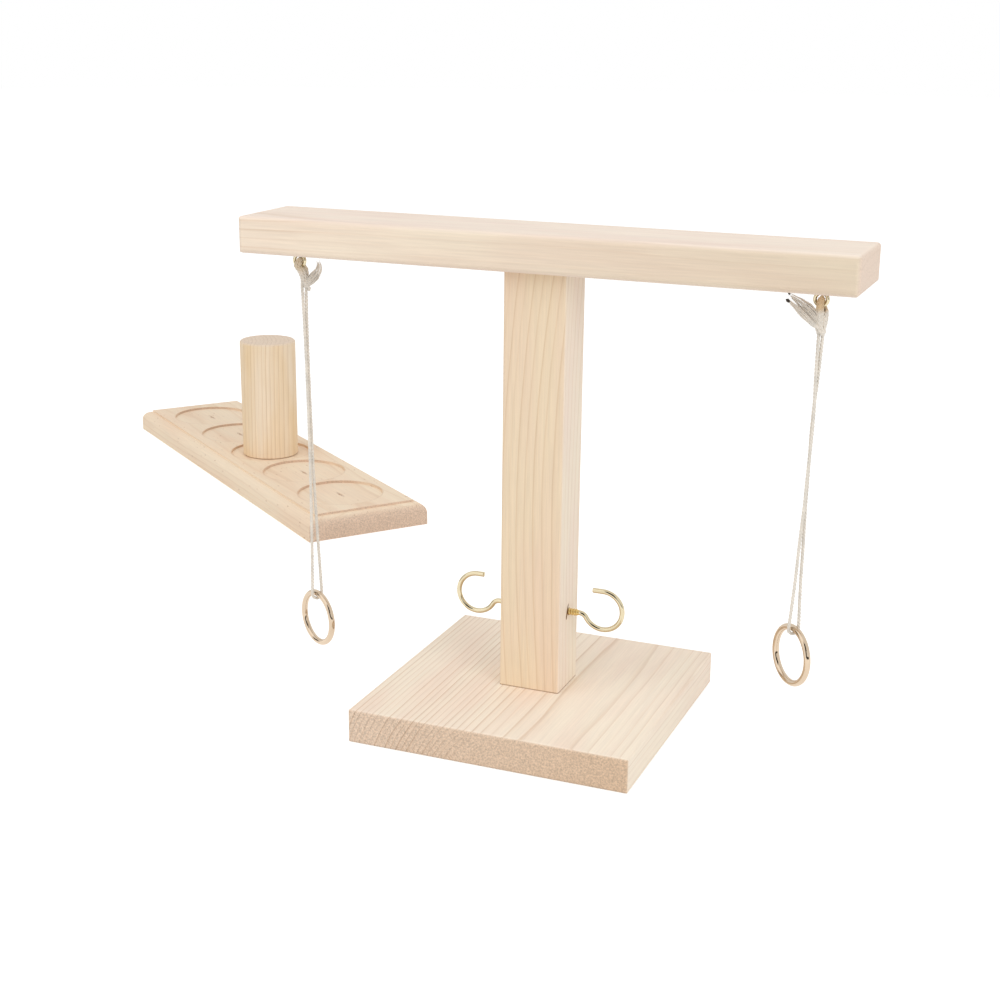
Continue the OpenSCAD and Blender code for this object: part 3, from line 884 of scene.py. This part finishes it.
def hole_shadow(face, metal):
    """Torn wood at the front of the right hook's hole, painted dark as the shadow in its gap."""
    reach = metal.hook_wire / 2 + metal.hook_radius
    shank_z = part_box("right_hook")[0].z + reach - HOOK_LIFT
    edge = [(-0.5, 4.1), (-1.5, 3.5), (-2.3, 2.3), (-3.0, 0.9), (-3.2, -0.6), (-3.7, -1.7),
            (-3.8, -2.9), (-3.2, -3.3), (-2.6, -2.2), (-2.2, -0.8), (-1.9, 0.6),
            (-1.7, 1.8), (-1.1, 2.9)]
    count = len(edge)
    verts = [Vector((face + out * MM, y * MM, shank_z + z * MM))
             for out in (-0.2, 0.14) for y, z in edge]
    faces = [tuple(reversed(range(count))), tuple(range(count, 2 * count))]
    faces += [(i, (i + 1) % count, count + (i + 1) % count, count + i) for i in range(count)]
    material, add, shader = new_material("pine_torn_painted_shadow")
    # Painted shadow, mottled like torn fibres about half a millimetre thick
    torn = add("TexNoise", [add("TexCoord").outputs["Object"], 1 / (0.5 * MM)])
    tone = add("Mix", [torn, linear("6E5031"), linear("8C6A45")], data_type="RGBA")
    plug(shader, {"Base Color": tone, "Roughness": 0.9})
    mesh_piece("right_hook_painted_shadow", [(verts, faces)], material, "stand")


def bend_hook(side, face, tip, shown, metal, brass):
    """One hook from its point in the post to its cut tip."""
    wire_r, round_r = metal.hook_wire / 2, metal.hook_radius
    shank_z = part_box(f"{side}_hook")[1].z - wire_r - round_r - HOOK_LIFT
    start, shank_end = face - THREAD_DEPTH, face + HOOK_STAND_OFF
    rise = HOOK_LIFT + HOOK_NECK_R
    run = sqrt((round_r + HOOK_NECK_R) ** 2 - rise ** 2)
    neck_angle = atan2(rise, run)
    step = 0.14 * MM
    line = straight(Vector((start, 0, shank_z)), Vector((shank_end, 0, shank_z)),
                    round((shank_end - start) / step))[:-1]
    neck = Vector((shank_end, 0, shank_z - HOOK_NECK_R))
    line += arc(neck, HOOK_NECK_R, pi / 2, neck_angle, step)
    middle = Vector((shank_end + run, 0, shank_z + HOOK_LIFT))
    line += arc(middle, round_r, neck_angle - pi, pi / 2, 2 * step)
    top = middle + Vector((0, 0, round_r))
    line += straight(top, top - Vector((tip, 0, 0)), round(tip / step))
    far = distances(line)
    threaded, rounding = THREAD_DEPTH + shown, 0.4 * MM

    def reach(i, angle):
        if far[i] < threaded:
            crest = thread_crest(far[i], angle, metal.thread_pitch)
            fade = min(1.0, (threaded - far[i]) / (0.9 * MM))
            point = min(1.0, 0.08 + far[i] / (3 * MM))
            return (wire_r + (0.2 + 0.38 * crest) * fade * MM) * point
        short = max(rounding - (far[-1] - far[i]), 0)
        return wire_r - rounding + sqrt(max(rounding ** 2 - short ** 2, 0))

    verts, faces = sweep(line, 28, reach)
    if side == "left":
        verts = [Vector((-v.x, v.y, v.z)) for v in verts]
        faces = [tuple(reversed(f)) for f in faces]
    hook = mesh_piece(f"{side}_hook_bent", [(verts, faces)], brass, "stand")
    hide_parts(f"{side}_hook")


class RINGTOSS_OT_hooks(bpy.types.Operator):
    """Bends the two screw hooks"""

    bl_idname = "ringtoss.hooks"
    bl_label = "Screw hooks"

    def execute(self, context):
        metal = context.scene.ringtoss_metal
        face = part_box("upright_post")[1].x
        brass = plated_wire("brass_plated_wire", list(metal.brass), 0.09, 6,
                            list(metal.thread), face + 5.4 * MM)
        # The left hook is screwed in as far as its plain wire, the right one not quite
        bend_hook("left", face, 3.8 * MM, 0.2 * MM, metal, brass)
        bend_hook("right", face, 5.4 * MM, 5.2 * MM, metal, brass)
        hole_shadow(face, metal)
        return {"FINISHED"}


class RINGTOSS_OT_eyes(bpy.types.Operator):
    """Bends the two screw eyes"""

    bl_idname = "ringtoss.eyes"
    bl_label = "Screw eyes"

    def execute(self, context):
        metal = context.scene.ringtoss_metal
        brass = plated_wire("brass_plated_eye", list(metal.brass), 0.12, 4)
        wire_r = metal.eye_wire / 2
        shank_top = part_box("cross_beam")[0].z + THREAD_DEPTH
        for side in ("left", "right"):
            eye = EYES[side]
            # The wire's cut end closes on the shank with a hair's gap
            turns = [radians(8 + 4.3 * i) for i in range(80)]
            ring = [eye + EYE_R * Vector((sin(a), 0, cos(a))) for a in turns]
            foot = Vector((eye.x, 0, eye.z + EYE_R))
            shank = straight(foot, Vector((eye.x, 0, shank_top)), 90)
            far = distances(shank)

            def reach(i, angle):
                cut = 1.0 if far[i] > 1.6 * MM else 0.0
                crest = thread_crest(far[i], angle, metal.thread_pitch) * cut
                point = min(1.0, 0.1 + (far[-1] - far[i]) / (2.2 * MM))
                return (wire_r - 0.03 * MM + 0.27 * MM * crest) * point

            bevelled = (0, len(ring) - 1)
            shells = [sweep(ring, 20, lambda i, a: wire_r * (0.86 if i in bevelled else 1)),
                      sweep(shank, 20, reach)]
            name = f"{side}_screw_eye"
            bent = mesh_piece(f"{name}_bent", shells, brass, "stand")
            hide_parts(name)
        return {"FINISHED"}


class RINGTOSS_OT_rings(bpy.types.Operator):
    """Polishes the two rings"""

    bl_idname = "ringtoss.rings"
    bl_label = "Rings"

    def execute(self, context):
        gold = plated_wire("pale_gold_plated_ring",
                           list(context.scene.ringtoss_metal.gold), 0.08, 9)
        for side in ("left", "right"):
            dress(f"{side}_ring", gold)
        return {"FINISHED"}


class RINGTOSS_OT_woodwork(bpy.types.Operator):
    """Finishes the stand, the ladder board and its peg"""

    bl_idname = "ringtoss.woodwork"
    bl_label = "Woodwork"

    def execute(self, context):
        slots = {"base_plate": "pine_base", "upright_post": "pine_post",
                 "cross_beam": "pine_beam", "ladder_board": "pine_board",
                 "marker_peg": "pine_peg"}
        seams = {"upright_post": tuple(corner.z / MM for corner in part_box("upright_post")),
                 "marker_peg": (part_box("marker_peg")[0].z / MM,)}
        for node, slot in slots.items():
            dress(node, pine(PINE_CUTS[node], seams.get(node, ())))
        return {"FINISHED"}


class RINGTOSS_OT_fasteners(bpy.types.Operator):
    """Finishes the hidden screws and dowels"""

    bl_idname = "ringtoss.fasteners"
    bl_label = "Screws and dowels"

    def execute(self, context):
        zinc = plated_wire("zinc_plated_steel", linear("C3C6C9"), 0.3, 3)
        dress("base_screws", zinc)
        beech = PINE_CUTS["marker_peg"]._replace(
            name="beech_turned_dowel", pith=(90, 60, 0), early="E9CDAA", late="CFA67C",
            ring=1.8, flecks=0.8)
        dress("beam_dowels", pine(beech))
        return {"FINISHED"}


# Glowing sheets that only the metal mirrors, as painted reflections in dark and bright streaks:
# azimuth from the front towards +X and height angle of the sheet's middle, width and height as
# seen from the object, all in degrees; tone, brightness
CARD_DISTANCE = 1.6
PAINTED_REFLECTIONS = (
    ("dark_front", 5, 27, 30, 44, "1C1814", 1.0),
    ("dark_shoulder", 25, 37, 12, 24, "1C1814", 1.0),
    ("dark_horizon", 30, 4, 80, 8, "2A241E", 1.0),
    ("grey_strip_left", -82, 8, 20, 30, "6A6055", 1.0),
    ("bright_panel_left", -42, 38, 44, 56, "FFFFFF", 1.35),
)


def sheet(name, corners, material):
    """One flat sheet round the game, which is no part of it."""
    flat = add_mesh(name, corners, [tuple(range(len(corners)))], material)
    return flat


def seen(add):
    """1 for what the camera sees, also mirrored or seen through, and 0 for light."""
    path = add("LightPath").outputs
    mirrored = add("Math", [path["Is Camera Ray"], path["Is Glossy Ray"]], "MAXIMUM")
    return add("Math", [mirrored, path["Is Transmission Ray"]], "MAXIMUM")


def make_floor(radius):
    """A round white floor that keeps a soft shadow."""
    turns = [2 * pi * i / 96 for i in range(96)]
    rim = [Vector((radius * cos(turn), radius * sin(turn), 0)) for turn in turns]
    material = bpy.data.materials.new("paper_white_matt")
    add = cleared(material)
    share = add("Math", [seen(add), 0.5], "MULTIPLY")
    glow = add("Emission", [(1, 1, 1, 1), share])
    matt = add("BsdfDiffuse", [linear("E8E7E6")])
    add("OutputMaterial", [add("AddShader", [glow, matt])])
    sheet("floor", rim, material)


def make_room(scene, ambient):
    """White all round for what is seen or mirrored, and an even light for the rest."""
    scene.world = bpy.data.worlds.new("white_room")
    add = cleared(scene.world)
    strength = add("MapRange", [seen(add), 0, 1, ambient, 1])
    add("OutputWorld", [add("Background", [(1, 1, 1, 1), strength])])


def make_lamps(scene):
    """A broad soft key from the upper left and a weak fill from the right."""
    for name, place, size, power in (
        ("key_softbox", (-0.9, -1.1, 1.5), 2.4, 9.0),
        ("fill_softbox", (1.3, -0.9, 0.9), 1.2, 7.8),
    ):
        lamp = bpy.data.lights.new(name, "AREA")
        lamp.shape = "DISK"
        lamp.size = size
        lamp.energy = power
        holder = bpy.data.objects.new(name, lamp)
        holder.location = place
        aim = Vector((-0.03, 0.05, 0.1)) - Vector(place)
        holder.rotation_euler = aim.to_track_quat("-Z", "Y").to_euler()
        holder.visible_glossy = False
        scene.collection.objects.link(holder)


def paint_reflections():
    """Glowing dark and bright sheets round the table, seen only in the metal's mirror: painted
    reflections, as streaks.
    """
    for name, *angles, tone, brightness in PAINTED_REFLECTIONS:
        azimuth, height, wide, tall = (radians(angle) for angle in angles)
        turn = Matrix.Translation((0, 0, 0.1)) @ facing(azimuth, height)
        x, y = tan(wide / 2), tan(tall / 2)
        corners = [turn @ (CARD_DISTANCE * Vector((*corner, 1)))
                   for corner in ((-x, -y), (x, -y), (x, y), (-x, y))]
        material = bpy.data.materials.new(f"{name}_painted_reflection")
        add = cleared(material)
        # The sheet glows with its tone, though it is no lamp: a painted reflection
        add("OutputMaterial", [add("Emission", [linear(tone), brightness])])
        card = sheet(name, corners, material)
        card.visible_camera = card.visible_diffuse = card.visible_shadow = False


class RINGTOSS_OT_stage(bpy.types.Operator):
    """Makes the floor, the room and the lamps"""

    bl_idname = "ringtoss.stage"
    bl_label = "Stage"

    def execute(self, context):
        scene = context.scene
        scene.view_settings.view_transform = "Standard"
        make_floor(scene.ringtoss_stage.floor_radius)
        make_room(scene, scene.ringtoss_stage.ambient)
        make_lamps(scene)
        paint_reflections()
        return {"FINISHED"}


class RINGTOSS_PT_panel(bpy.types.Panel):
    """The ring toss game's pieces and sizes"""

    bl_idname = "RINGTOSS_PT_panel"
    bl_label = "Ring Toss"
    bl_space_type = "VIEW_3D"
    bl_region_type = "UI"
    bl_category = "Ring Toss"

    def draw(self, context):
        column = self.layout.column()
        for step in STEPS:
            column.operator(step.bl_idname)
        for key, group in GROUPS.items():
            for name in group.__annotations__:
                column.prop(getattr(context.scene, key), name)


STEPS = (
    RINGTOSS_OT_camera, RINGTOSS_OT_strings, RINGTOSS_OT_hooks, RINGTOSS_OT_eyes,
    RINGTOSS_OT_rings, RINGTOSS_OT_woodwork, RINGTOSS_OT_fasteners, RINGTOSS_OT_stage,
)
GROUPS = {
    "ringtoss_string": RINGTOSS_PG_string,
    "ringtoss_metal": RINGTOSS_PG_metal,
    "ringtoss_stage": RINGTOSS_PG_stage,
}


def register():
    for name, group in GROUPS.items():
        bpy.utils.register_class(group)
        setattr(bpy.types.Scene, name, PointerProperty(type=group))
    for step in (*STEPS, RINGTOSS_PT_panel):
        bpy.utils.register_class(step)


def unregister():
    for step in reversed((*STEPS, RINGTOSS_PT_panel)):
        bpy.utils.unregister_class(step)
    for name, group in GROUPS.items():
        delattr(bpy.types.Scene, name)
        bpy.utils.unregister_class(group)


def main():
    register()
    for step in STEPS:
        family, name = step.bl_idname.split(".")
        getattr(getattr(bpy.ops, family), name)()


if __name__ == "__main__":
    main()
